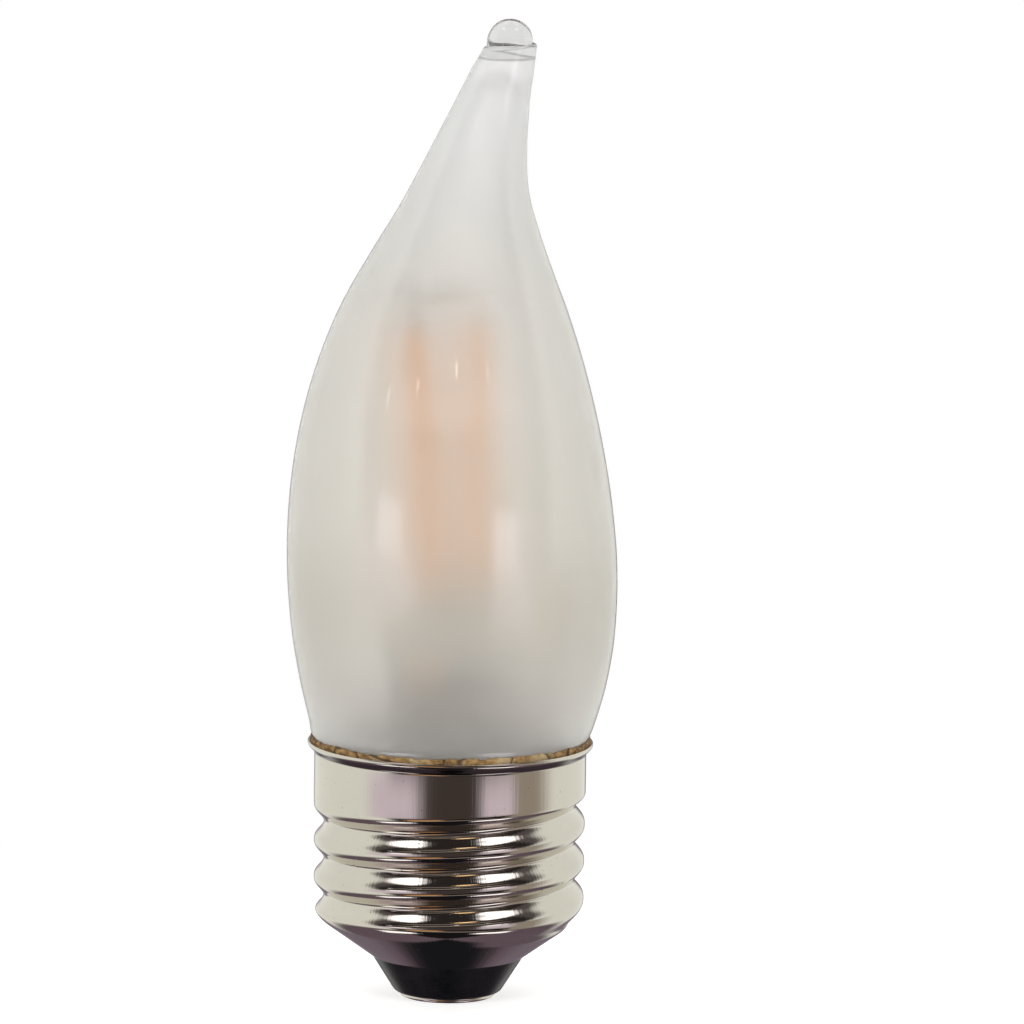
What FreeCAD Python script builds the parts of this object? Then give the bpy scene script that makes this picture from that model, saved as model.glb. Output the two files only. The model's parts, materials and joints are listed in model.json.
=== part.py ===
import FreeCAD, Part

import math
import os

from FreeCAD import Vector

# A bent-tip candle bulb with four glowing filaments on an E26 screw cap. Millimetres and degrees.
# The origin is the centre of the end contact's lower face, +Z runs up the cap's axis, and the
# glass tip leans towards +X.

# End contact, an eyelet clinched through the glass insulator and closed with solder
CONTACT_DIAMETER = 9.2
CONTACT_THICKNESS = 0.45
CONTACT_EDGE_ROUND = 0.3
EYELET_DIAMETER = 3.2
EYELET_WALL = 0.3
EYELET_COLLAR_REACH = 0.8
SOLDER_RECESS = 0.05
SOLDER_LENGTH = 1.6

# Black glass insulator
INSULATOR_FOOT_DIAMETER = 10.2
INSULATOR_FOOT_ROUND = 0.8
INSULATOR_EXPOSED_HEIGHT = 3.55
INSULATOR_FLANGE_REACH = 1.25
INSULATOR_FLANGE_EDGE = 0.35
INSULATOR_WALL = 1.0
INSULATOR_FLOOR = 1.95
INSULATOR_WELL_DIAMETER = 6.8

# Screw shell, rolled from thin sheet
SHEET = 0.3
SHELL_CONE_ANGLE = 54.5
SHELL_CONE_REACH = 5.75
THREAD_PITCH = 25.4 / 7
THREAD_DEPTH = 0.95
THREAD_FIRST_ROOT = 4.0
THREAD_ROOT_SHARPNESS = 1.35
THREAD_RUN_IN = (-110.0, 70.0)
THREAD_RUN_OUT = (1080.0, 1200.0)
BAND_START = 2.6
BAND_END = 16.3
SHOULDER_BLEND = 1.2
SKIRT_DIAMETER = 26.3
SKIRT_STEP = 0.05
SKIRT_HEIGHT = 3.75
LIP_FLARE = 0.65
LIP_FLARE_RADIUS = 0.55
LIP_RIM = 0.35

# Glass envelope. Its neck stands inside the skirt, its seat closes the lip, and the flame rises
# from there to the tip.
NECK_DEPTH = 8.05
NECK_CLEARANCE = 1.95
NECK_SHOULDER_DEPTH = 2.5
NECK_SHOULDER_CLEARANCE = 1.25
SEAT_HEIGHT = 0.65
SEAT_CLEARANCE = 0.08
GLASS_DIAMETER = 31.88
GLASS_WALL = 0.8
FLAME_LENGTH = 67.3
TIP_LEAN = 4.84

# The flame's outline. Each station is its height as a share of the flame's length, its width, its
# shift as a share of the tip's lean, and the tilt of its plane. The belly's widths run from 0 at
# the seat to 1 at the widest place, and the taper's are shares of the widest radius.
BELLY_STATIONS = (
    (0.03, 0.163, 0.027, 0.0),
    (0.088, 0.56, 0.041, 0.0),
    (0.163, 0.881, 0.027, 0.0),
)
TAPER_STATIONS = (
    (0.257, 1.0, -0.012, 0.0),
    (0.355, 0.974, -0.062, 0.0),
    (0.45, 0.911, -0.093, 0.0),
    (0.538, 0.818, -0.083, 0.5),
    (0.621, 0.695, -0.012, 2.5),
    (0.695, 0.55, 0.112, 5.5),
    (0.753, 0.434, 0.229, 8.5),
    (0.81, 0.338, 0.335, 11.5),
    (0.868, 0.27, 0.512, 14.1),
    (0.935, 0.208, 0.744, 10.4),
    (0.97, 0.185, 0.878, 3.9),
    (1.0, 0.164, 1.0, -5.0),
)
TIP_ROUND = 0.35
TIP_ROUND_STEPS = (0.0, 40.0, 75.0)
BEAD_DIAMETER = 4.4
BEAD_RISE = 0.65
BORE_END_WALL = 2.3
BORE_END_DIAMETER = 1.0

# Basing cement between the neck and the shell
CEMENT_DEPTH = 4.4
CEMENT_CREEP = 0.55
CEMENT_BITE = 0.15

# Stem: a flared glass tube pinched flat over the lead wires
STEM_WALL = 0.9
STEM_TUBE_DIAMETER = 8.6
STEM_RIM_LAND = 1.6
STEM_TUBE_LENGTH = 4.0
PINCH_WIDTH = 9.6
PINCH_THICKNESS = 3.4
PINCH_HEIGHT = 10.0
PINCH_EDGE_ROUND = 0.5
PINCH_ROOT_SET_IN = 0.1
PINCH_WAIST_THICKNESS = 5.8
PINCH_MIDDLE_THICKNESS = 3.6
STEM_TURN = 20.0
EXHAUST_DIAMETER = 3.6
EXHAUST_BORE = 2.2
EXHAUST_CLEARANCE = 1.09
EXHAUST_PORT_DIAMETER = 1.8
POST_DIAMETER = 2.2
POST_SHARE = 0.62
CAGE_LEAN = 1.9

# Lead wires and filaments
LEAD_DIAMETER = 0.6
LEAD_SPACING = 5.2
LEAD_BEND_RADIUS = 0.7
CARRIER_WIRE_DIAMETER = 0.5
LOWER_CARRIER_RADIUS = 2.75
UPPER_CARRIER_RADIUS = 4.2
CARRIER_RISE = 1.9
CARRIER_HALF_ARC = 62.0
CAGE_SHARE = 0.45
STUB_GRIP = 3.0
FILAMENT_COUNT = 4
TAB_WIDTH = 0.8
TAB_THICKNESS = 0.2
TAB_TAIL = 0.8
TAB_LENGTH = 2.6
TAB_LAP = 0.8
WELD_DEPTH = 0.05
SUBSTRATE_WIDTH = 0.8
SUBSTRATE_THICKNESS = 0.3
COAT_WIDTH = 1.4
COAT_COVER = 0.45
COAT_EDGE_ROUND = 0.35
COAT_TAB_GAP = 0.1
CHIP_LENGTH = 0.7
CHIP_WIDTH = 0.45
CHIP_THICKNESS = 0.12
CHIP_PITCH = 1.0

# Driver board and what is soldered to it
BOARD_WALL_CLEARANCE = 1.09
BOARD_EDGE_MARGIN = 2.3
BOARD_THICKNESS = 1.0
BOARD_SETBACK = 2.3
BOARD_TOP_CLEARANCE = 0.4
BOARD_TONGUE_WIDTH = 5.0
BOARD_TONGUE_DEPTH = 2.3
PART_STANDOFF = 0.8
PIN_DIAMETER = 0.5
CAPACITOR_SHARE = 0.394
CAPACITOR_LENGTH = 7.6
CAPACITOR_EDGE_ROUND = 0.5
CAPACITOR_PIN_PITCH = 2.5
CHOKE_SET_IN = 0.15
CHOKE_LENGTH = 6.2
CHOKE_WINDING_SET_IN = 0.4
CHOKE_WINDING_DEPTH = 1.4
CHOKE_FLANGE = 1.0
CHOKE_PIN_PITCH = 3.0
DRUM_GAP = 0.35
DRUM_LIFT = 0.55
FILM_CAPACITOR_DEPTH = 2.2
FILM_CAPACITOR_HEIGHT = 3.6
FILM_CAPACITOR_LIFT = 1.4
FILM_CAPACITOR_EDGE_ROUND = 0.25
RECTIFIER_SIZE = (4.6, 1.4, 3.8)
RECTIFIER_GAP = 0.6
RECTIFIER_LEGS = 2
CHIP_SIZE = (4.9, 1.5, 3.9)
CHIP_GAP = 0.65
CHIP_LEGS = 4
SURFACE_MOUNT_HEIGHT = 7.0
LEG_THICKNESS = 0.2
LEG_WIDTH = 0.4
LEG_REACH = 0.9
FUSE_RESISTOR_DIAMETER = 2.2
FUSE_RESISTOR_LENGTH = 5.6
FUSE_RESISTOR_HEIGHT = 1.9
FUSE_RESISTOR_PIN_REACH = 1.2
FUSE_RESISTOR_EDGE_ROUND = 0.35
CHIP_RESISTOR_SIZE = (1.6, 0.45, 0.8)
CHIP_RESISTOR_PITCH = 1.3
CHIP_RESISTOR_COUNT = 4
CHIP_RESISTOR_PLACE = (-0.5, 4.2)

# Wires from the board to the cap
LIVE_WIRE_DIAMETER = 0.9
LIVE_WIRE_BEND = 1.0
LIVE_WIRE_SOLDERED = 1.3
NEUTRAL_WIRE_DIAMETER = 0.6
NEUTRAL_WIRE_PLACE = (-5.0, 1.5)
NEUTRAL_SOLDER_DIAMETER = 2.0
NEUTRAL_SOLDER_BITE = 0.15

# The rolled thread's surface: its poles round and along the shell, the step that its slope is
# measured over, and how far apart edges may be that join
THREAD_COLUMNS = 40
THREAD_ROWS = 50
SLOPE_STEP = 0.01
SEAM_TOLERANCE = 1e-3

# Levels, radii and widths that the pieces share
CONTACT_TOP = CONTACT_THICKNESS
SHELL_BOTTOM = CONTACT_TOP + INSULATOR_EXPOSED_HEIGHT
CONE_SLOPE = math.tan(math.radians(SHELL_CONE_ANGLE))
CONE_SHEET = SHEET * math.hypot(1, CONE_SLOPE)
CREST_RADIUS = SKIRT_DIAMETER / 2 - SKIRT_STEP
HOLE_RADIUS = CREST_RADIUS - SHELL_CONE_REACH
HOLE_EDGE_TOP = SHELL_BOTTOM + CONE_SHEET / CONE_SLOPE
BAND_LOW = SHELL_BOTTOM + BAND_START
BAND_HIGH = SHELL_BOTTOM + BAND_END
SKIRT_TOP = BAND_HIGH + SKIRT_HEIGHT
LIP_TOP = SKIRT_TOP + LIP_FLARE + LIP_RIM
SKIRT_BORE = SKIRT_DIAMETER / 2 - SHEET
LIP_BORE = SKIRT_BORE + LIP_FLARE
FLANGE_RADIUS = HOLE_RADIUS + INSULATOR_FLANGE_REACH
FLANGE_LOW = HOLE_EDGE_TOP + INSULATOR_FLANGE_REACH / CONE_SLOPE
INSULATOR_TOP = FLANGE_LOW + INSULATOR_FLANGE_EDGE
WELL_FLOOR = CONTACT_TOP + INSULATOR_FLOOR
NECK_RIM = LIP_TOP - NECK_DEPTH
NECK_RADIUS = SKIRT_BORE - NECK_CLEARANCE
SHOULDER_RADIUS = SKIRT_BORE - NECK_SHOULDER_CLEARANCE
SEAT_RADIUS = LIP_BORE - SEAT_CLEARANCE
GLASS_RADIUS = GLASS_DIAMETER / 2
STEM_UNDERSIDE = NECK_RIM - STEM_WALL
FLARE_RADIUS = NECK_RADIUS - STEM_TUBE_DIAMETER / 2 - STEM_RIM_LAND
TUBE_LOW = NECK_RIM + FLARE_RADIUS
TUBE_HIGH = TUBE_LOW + STEM_TUBE_LENGTH
PINCH_TOP = TUBE_HIGH + PINCH_HEIGHT
LOWER_CARRIER = PINCH_TOP + CARRIER_RISE
UPPER_CARRIER = LOWER_CARRIER + CAGE_SHARE * FLAME_LENGTH
BOARD_LOW = INSULATOR_TOP
BOARD_HIGH = STEM_UNDERSIDE - BOARD_TOP_CLEARANCE
BOARD_FRONT = BOARD_SETBACK
BOARD_BACK = BOARD_FRONT + BOARD_THICKNESS
CONE_BORE = HOLE_RADIUS + CONE_SLOPE * (BOARD_LOW - HOLE_EDGE_TOP)
BOARD_WIDTH = 2 * (CONE_BORE - BOARD_WALL_CLEARANCE)
CAPACITOR_DIAMETER = BOARD_WIDTH * CAPACITOR_SHARE
CHOKE_DIAMETER = CAPACITOR_DIAMETER - 2 * CHOKE_SET_IN
CHOKE_WINDING_DIAMETER = CHOKE_DIAMETER - 2 * CHOKE_WINDING_SET_IN
CHOKE_WAIST_DIAMETER = CHOKE_WINDING_DIAMETER - 2 * CHOKE_WINDING_DEPTH
DRUM_OFFSET = BOARD_WIDTH / 2 - BOARD_EDGE_MARGIN
DRUM_LEVEL = BOARD_LOW + DRUM_LIFT + CAPACITOR_DIAMETER / 2
FILM_CAPACITOR_WIDTH = 2 * (DRUM_OFFSET - CAPACITOR_DIAMETER / 2 - DRUM_GAP)
FILM_CAPACITOR_LOW = BOARD_LOW + FILM_CAPACITOR_LIFT
EXHAUST_LOW = FILM_CAPACITOR_LOW + FILM_CAPACITOR_HEIGHT + EXHAUST_CLEARANCE
POST_AXIS = Vector(-CAGE_LEAN, 0, UPPER_CARRIER - PINCH_TOP)
UP = Vector(0, 0, 1)


def turned(points, rounds=None):
    """The solid that an outline of (radius, height) corners makes when it is turned about the Z
    axis. rounds gives the fillet radius of some corners by their index."""
    return Part.Face(rounded_outline(points, rounds or {})).revolve(Vector(), UP, 360)


def rounded_outline(points, rounds, closed=True):
    """A wire in the XZ plane through the corners, with an arc at each corner in rounds."""
    corners = [Vector(r, 0, z) for r, z in points]
    edges = []
    ends = []
    for i, corner in enumerate(corners):
        radius = rounds.get(i, 0)
        if not radius:
            ends.append((corner, corner))
            continue
        before = (corners[i - 1] - corner).normalize()
        after = (corners[(i + 1) % len(corners)] - corner).normalize()
        half = before.getAngle(after) / 2
        reach = radius / math.tan(half)
        middle = (before + after).normalize() * (radius / math.sin(half) - radius)
        start = corner + before * reach
        end = corner + after * reach
        edges.append(Part.Arc(start, corner + middle, end).toShape())
        ends.append((start, end))
    sides = len(corners) if closed else len(corners) - 1
    for i in range(sides):
        start = ends[i][1]
        end = ends[(i + 1) % len(ends)][0]
        if start.distanceToPoint(end) > 1e-6:
            edges.append(Part.LineSegment(start, end).toShape())
    return Part.Wire(Part.__sortEdges__(edges))


def rod(start, end, radius):
    """A straight round rod from one point to the other."""
    return Part.makeCylinder(radius, start.distanceToPoint(end), start, end - start)


def bent_wire(points, radius, bend):
    """A round wire along straight runs joined by tangent arcs."""
    edges = []
    start = points[0]
    for before, corner, after in zip(points, points[1:], points[2:]):
        towards = (corner - before).normalize()
        away = (after - corner).normalize()
        half = towards.getAngle(away) / 2
        reach = bend * math.tan(half)
        first = corner - towards * reach
        last = corner + away * reach
        middle = (away - towards).normalize() * (bend / math.cos(half) - bend)
        edges.append(Part.LineSegment(start, first).toShape())
        edges.append(Part.Arc(first, corner + middle, last).toShape())
        start = last
    edges.append(Part.LineSegment(start, points[-1]).toShape())
    heading = points[1] - points[0]
    section = Part.Wire(Part.makeCircle(radius, points[0], heading))
    return Part.Wire(edges).makePipeShell([section], True, True)


def block(size, low_corner):
    return Part.makeBox(*size, low_corner)


def turn_about_axis(shape, degrees):
    turned_shape = shape.copy()
    turned_shape.rotate(Vector(), UP, degrees)
    return turned_shape


# Screw cap


def end_contact():
    barrel = EYELET_DIAMETER / 2
    bore = barrel - EYELET_WALL
    collar = barrel + EYELET_COLLAR_REACH
    disc = CONTACT_DIAMETER / 2
    collar_top = WELL_FLOOR + EYELET_WALL
    points = [(bore, 0), (disc, 0), (disc, CONTACT_TOP), (barrel, CONTACT_TOP)]
    points += [(barrel, WELL_FLOOR), (collar, WELL_FLOOR), (collar, collar_top), (bore, collar_top)]
    return turned(points, {1: CONTACT_EDGE_ROUND})


def contact_solder(wire):
    bore = EYELET_DIAMETER / 2 - EYELET_WALL
    plug = Part.makeCylinder(bore, SOLDER_LENGTH, Vector(0, 0, SOLDER_RECESS))
    return plug.cut(wire)


def insulator():
    hole = EYELET_DIAMETER / 2
    well_rim = FLANGE_RADIUS - INSULATOR_WALL
    points = [(hole, CONTACT_TOP), (INSULATOR_FOOT_DIAMETER / 2, CONTACT_TOP)]
    points += [(HOLE_RADIUS, SHELL_BOTTOM), (HOLE_RADIUS, HOLE_EDGE_TOP)]
    points += [(FLANGE_RADIUS, FLANGE_LOW), (FLANGE_RADIUS, INSULATOR_TOP)]
    points += [(well_rim, INSULATOR_TOP), (INSULATOR_WELL_DIAMETER / 2, WELL_FLOOR)]
    points += [(hole, WELL_FLOOR)]
    return turned(points, {1: INSULATOR_FOOT_ROUND})


def smooth_step(value, low, high):
    t = min(max((value - low) / (high - low), 0), 1)
    return t * t * (3 - 2 * t)


def thread_radius(angle, height):
    """The rolled shell's outer radius. The cone rounds into the crest's cylinder, and a groove of
    one pitch a turn runs in at the bottom and out under the skirt."""
    cone = HOLE_RADIUS + CONE_SLOPE * (height - SHELL_BOTTOM)
    overlap = max(SHOULDER_BLEND - abs(cone - CREST_RADIUS), 0) / SHOULDER_BLEND
    skin = min(cone, CREST_RADIUS) - overlap * overlap * SHOULDER_BLEND / 4
    skin += SKIRT_STEP * smooth_step(height, BAND_HIGH - THREAD_PITCH, BAND_HIGH)
    first_root = SHELL_BOTTOM + THREAD_FIRST_ROOT
    turns = (height - first_root) / THREAD_PITCH - angle / 360
    groove_angle = angle + 360 * round(turns)
    wave = (1 - math.cos(2 * math.pi * (turns - round(turns)))) / 2
    groove = (1 - wave) ** THREAD_ROOT_SHARPNESS
    depth = smooth_step(groove_angle, *THREAD_RUN_IN)
    depth *= 1 - smooth_step(groove_angle, *THREAD_RUN_OUT)
    depth *= smooth_step(height, BAND_LOW, BAND_LOW + THREAD_PITCH / 4)
    depth *= 1 - smooth_step(height, BAND_HIGH - THREAD_PITCH / 4, BAND_HIGH)
    return skin - THREAD_DEPTH * groove * depth


def thread_skin(inner):
    """The threaded stretch of the shell's outer or inner skin, one closed cubic surface."""
    spans = THREAD_ROWS - 3
    flat = [0] * 3 + list(range(spans + 1)) + [spans] * 3
    column_angle = 360 / THREAD_COLUMNS
    pole_swell = 6 / (4 + 2 * math.cos(math.radians(column_angle)))
    poles = []
    for i in range(THREAD_COLUMNS):
        angle = (i - 1) * column_angle
        column = []
        for j in range(THREAD_ROWS):
            share = (flat[j + 1] + flat[j + 2] + flat[j + 3]) / (3 * spans)
            height = BAND_LOW + share * (BAND_HIGH - BAND_LOW)
            radius = thread_radius(angle, height)
            if inner:
                above = thread_radius(angle, height + SLOPE_STEP)
                below = thread_radius(angle, height - SLOPE_STEP)
                radius -= SHEET * math.hypot(1, (above - below) / (2 * SLOPE_STEP))
            radius *= pole_swell
            turn = math.radians(angle)
            column.append(Vector(radius * math.cos(turn), radius * math.sin(turn), height))
        poles.append(column)
    surface = Part.BSplineSurface()
    surface.buildFromPolesMultsKnots(
        poles,
        [1] * (THREAD_COLUMNS + 1),
        [4] + [1] * (spans - 1) + [4],
        list(range(THREAD_COLUMNS + 1)),
        list(range(spans + 1)),
        True,
        False,
        3,
        3,
    )
    return surface.toShape()


def lip_line():
    """The outline of the plain skirt and its flared lip: up the outside, over and down inside."""
    skirt = SKIRT_DIAMETER / 2
    lip = skirt + LIP_FLARE
    outside = [(skirt, BAND_HIGH), (skirt, SKIRT_TOP)]
    outside += [(lip, SKIRT_TOP + LIP_FLARE), (lip, LIP_TOP)]
    inside_turn = SKIRT_TOP + SHEET * math.tan(math.radians(22.5))
    inside = [(LIP_BORE, LIP_TOP), (LIP_BORE, inside_turn + LIP_FLARE)]
    inside += [(SKIRT_BORE, inside_turn), (SKIRT_BORE, BAND_HIGH)]
    soft = LIP_FLARE_RADIUS
    edge = SHEET / 3
    rounds = {1: soft, 2: soft, 3: edge, 4: edge, 5: soft - SHEET, 6: soft + SHEET}
    return rounded_outline(outside + inside, rounds, closed=False)


def cone_line():
    low = HOLE_RADIUS + CONE_SLOPE * (BAND_LOW - SHELL_BOTTOM)
    inner = [(low - CONE_SHEET, BAND_LOW), (HOLE_RADIUS, HOLE_EDGE_TOP)]
    outer = [(HOLE_RADIUS, SHELL_BOTTOM), (low, BAND_LOW)]
    return rounded_outline(inner + outer, {}, closed=False)


def screw_shell():
    """The cap's rolled sheet: its cone, threaded band and lip, closed into one solid."""
    faces = []
    for line in (lip_line(), cone_line()):
        faces += line.revolve(Vector(), UP, 360).Faces
    faces += [thread_skin(inner=False), thread_skin(inner=True)]
    skin, _ = faces[0].generalFuse(faces[1:], SEAM_TOLERANCE)
    skin.sewShape()
    shell = Part.Solid(skin.Shells[0])
    if shell.Volume < 0:
        shell.reverse()
    return shell


def basing_cement(shell, glass):
    """The cement fills the gap between neck and shell and creeps a little way up the glass."""
    mid_skirt = SKIRT_BORE + SHEET / 2
    mid_lip = LIP_BORE + SHEET / 2
    low = LIP_TOP - CEMENT_DEPTH
    high = LIP_TOP + CEMENT_CREEP
    inner = NECK_RADIUS - GLASS_WALL / 2
    points = [(inner, low), (mid_skirt, low), (mid_skirt, SKIRT_TOP)]
    points += [(mid_lip, SKIRT_TOP + LIP_FLARE), (mid_lip, LIP_TOP - CEMENT_BITE)]
    points += [(LIP_BORE, LIP_TOP - CEMENT_BITE), (LIP_BORE, high), (inner, high)]
    return turned(points).cut(shell).cut(glass)


# Glass


def station_ring(height, radius, shift, tilt):
    """A circle of the flame's outline, turned so that its plane leans with the tip."""
    ring = Part.makeCircle(radius)
    ring.rotate(Vector(), UP, 90)
    ring.rotate(Vector(), Vector(0, 1, 0), tilt)
    ring.translate(Vector(shift, 0, LIP_TOP + height))
    return Part.Wire(ring)


def flame_stations():
    """The glass's outer stations from its rim to its tip: height, radius, shift and tilt."""
    upper_neck = (NECK_DEPTH * 3 + NECK_SHOULDER_DEPTH) / 4
    stations = [(-NECK_DEPTH, NECK_RADIUS, 0, 0), (-upper_neck, NECK_RADIUS, 0, 0)]
    stations += [(-NECK_SHOULDER_DEPTH, SHOULDER_RADIUS, 0, 0), (SEAT_HEIGHT, SEAT_RADIUS, 0, 0)]
    for height, swell, shift, tilt in BELLY_STATIONS:
        radius = SEAT_RADIUS + swell * (GLASS_RADIUS - SEAT_RADIUS)
        stations.append((height * FLAME_LENGTH, radius, shift * TIP_LEAN, tilt))
    for height, width, shift, tilt in TAPER_STATIONS:
        stations.append((height * FLAME_LENGTH, width * GLASS_RADIUS, shift * TIP_LEAN, tilt))
    return stations


def flame_body():
    """The envelope's outer form, solid, without the bead: the flame and its rounded crown."""
    stations = flame_stations()
    height, radius, shift, tilt = stations[-1]
    crown = []
    for degrees in TIP_ROUND_STEPS:
        turn = math.radians(degrees)
        set_in = TIP_ROUND * (1 - math.cos(turn))
        crown.append((height + TIP_ROUND * math.sin(turn), radius - set_in, shift, tilt))
    flame = Part.makeLoft([station_ring(*s) for s in stations], True, False)
    return flame.fuse(Part.makeLoft([station_ring(*s) for s in crown], True, False))


def tip_bead():
    level = LIP_TOP + FLAME_LENGTH + BEAD_RISE
    return Part.makeSphere(BEAD_DIAMETER / 2, Vector(TIP_LEAN, 0, level))


def flame_bore():
    """The hollow inside the envelope, open below the neck and drawn shut under the bead."""
    inner = [(h, r - GLASS_WALL, x, t) for h, r, x, t in flame_stations()]
    below = (-NECK_DEPTH - GLASS_WALL, NECK_RADIUS - GLASS_WALL, 0, 0)
    height, _, shift, tilt = inner[-1]
    closing = (height - BORE_END_WALL, BORE_END_DIAMETER / 2, shift - BORE_END_WALL / 4, -tilt)
    return Part.makeLoft([station_ring(*s) for s in [below] + inner[:-2] + [closing]], True, False)


def pinch_section(height, width, thickness):
    ellipse = Part.Ellipse(Vector(), width / 2, thickness / 2).toShape()
    ellipse.translate(Vector(0, 0, height))
    return Part.Wire(ellipse)


def stem():
    """The flare, its tube and the flat pinch, before the wires and the exhaust port are cut."""
    tube = STEM_TUBE_DIAMETER / 2
    rim = NECK_RADIUS
    bore = tube - STEM_WALL
    ceiling = TUBE_HIGH - STEM_WALL
    points = [(0, ceiling), (bore, ceiling), (bore, STEM_UNDERSIDE), (rim, STEM_UNDERSIDE)]
    points += [(rim, NECK_RIM), (tube, NECK_RIM), (tube, TUBE_HIGH), (0, TUBE_HIGH)]
    rounds = {2: FLARE_RADIUS + STEM_WALL, 5: FLARE_RADIUS}
    flare = turned(points, rounds)
    root = STEM_TUBE_DIAMETER - PINCH_ROOT_SET_IN
    waist = (STEM_TUBE_DIAMETER + PINCH_WIDTH) / 2
    sections = [
        (TUBE_HIGH - STEM_WALL / 2, root, root),
        (TUBE_HIGH + PINCH_HEIGHT / 4, waist, PINCH_WAIST_THICKNESS),
        (TUBE_HIGH + PINCH_HEIGHT / 2, PINCH_WIDTH, PINCH_MIDDLE_THICKNESS),
        (PINCH_TOP, PINCH_WIDTH, PINCH_THICKNESS),
    ]
    pinch = Part.makeLoft([pinch_section(*s) for s in sections], True, False)
    top = max(pinch.Faces, key=lambda f: f.CenterOfMass.z)
    pinch = pinch.makeFillet(PINCH_EDGE_ROUND, top.Edges)
    return turn_about_axis(flare.fuse(pinch), STEM_TURN)


def exhaust_port():
    """The bore that leads from the exhaust tube out through the pinch's side into the bulb."""
    ceiling = TUBE_HIGH - STEM_WALL
    radius = EXHAUST_PORT_DIAMETER / 2
    level = TUBE_HIGH + EXHAUST_PORT_DIAMETER / 2
    up = Part.makeCylinder(EXHAUST_BORE / 2, level - ceiling, Vector(0, 0, ceiling))
    out = Part.makeCylinder(radius, STEM_TUBE_DIAMETER, Vector(0, 0, level), Vector(0, -1, 0))
    ball = Part.makeSphere(EXHAUST_BORE / 2, Vector(0, 0, level))
    return turn_about_axis(up.fuse([out, ball]), STEM_TURN)


def exhaust_tube():
    outer = EXHAUST_DIAMETER / 2
    inner = EXHAUST_BORE / 2
    wall = outer - inner
    high = TUBE_HIGH - STEM_WALL
    tip = Vector(0, 0, EXHAUST_LOW + outer)
    tube = Part.makeCylinder(outer, high - tip.z, tip)
    tube = tube.fuse(Part.makeSphere(outer, tip))
    bore_tip = tip + Vector(0, 0, wall)
    bore = Part.makeCylinder(inner, high - tip.z, bore_tip)
    bore = bore.fuse(Part.makeSphere(inner, bore_tip))
    return tube.cut(bore).removeSplitter()


# Wires and filaments


def carrier_arc(centre, normal, radius, start, sweep):
    """A wire bent to an arc about an axis, its start angle counted from +X."""
    across = Vector(0, 1, 0).cross(normal).normalize() * radius
    section = Part.makeCircle(CARRIER_WIRE_DIAMETER / 2, centre + across, Vector(0, 1, 0))
    face = Part.Face(Part.Wire(section))
    face.rotate(centre, normal, start)
    return face.revolve(centre, normal, sweep)


def lead_wire(side):
    """A lead from the board's front pad, up through the stem and its pinch, to a lower carrier."""
    turn = math.radians(STEM_TURN)
    x = side * LEAD_SPACING / 2 * math.cos(turn)
    y = side * LEAD_SPACING / 2 * math.sin(turn)
    pad_level = BOARD_HIGH - LEAD_DIAMETER * 1.5
    points = [Vector(x, BOARD_FRONT, pad_level), Vector(x, y, pad_level)]
    points += [Vector(x, y, LOWER_CARRIER + LEAD_DIAMETER)]
    return bent_wire(points, LEAD_DIAMETER / 2, LEAD_BEND_RADIUS)


def lower_carrier(side):
    middle = STEM_TURN + (0 if side > 0 else 180)
    centre = Vector(0, 0, LOWER_CARRIER)
    start = middle - CARRIER_HALF_ARC
    return carrier_arc(centre, UP, LOWER_CARRIER_RADIUS, start, 2 * CARRIER_HALF_ARC)


def cage_top():
    return Vector(0, 0, PINCH_TOP) + POST_AXIS


def top_carrier():
    """The ring that joins the filaments' upper ends, with its spoke and the stub in the post."""
    centre = cage_top()
    axis = Vector(POST_AXIS).normalize()
    radius = CARRIER_WIRE_DIAMETER / 2
    ring = carrier_arc(centre, axis, UPPER_CARRIER_RADIUS, STEM_TURN, 360)
    across = axis.cross(Vector(0, 1, 0)).normalize() * UPPER_CARRIER_RADIUS
    spoke = rod(centre - across, centre + across, radius)
    foot = Vector(0, 0, PINCH_TOP) + POST_AXIS * POST_SHARE - axis * STUB_GRIP
    stub = rod(foot, centre, radius)
    return ring.fuse([spoke, stub])


def glass_post(pinch):
    start = Vector(0, 0, PINCH_TOP) - Vector(POST_AXIS).normalize() * PINCH_EDGE_ROUND
    end = Vector(0, 0, PINCH_TOP) + POST_AXIS * POST_SHARE
    post = rod(start, end, POST_DIAMETER / 2)
    top = max(post.Faces, key=lambda f: f.CenterOfMass.z)
    return post.makeFillet(PINCH_EDGE_ROUND, top.Edges).cut(pinch)


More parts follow.
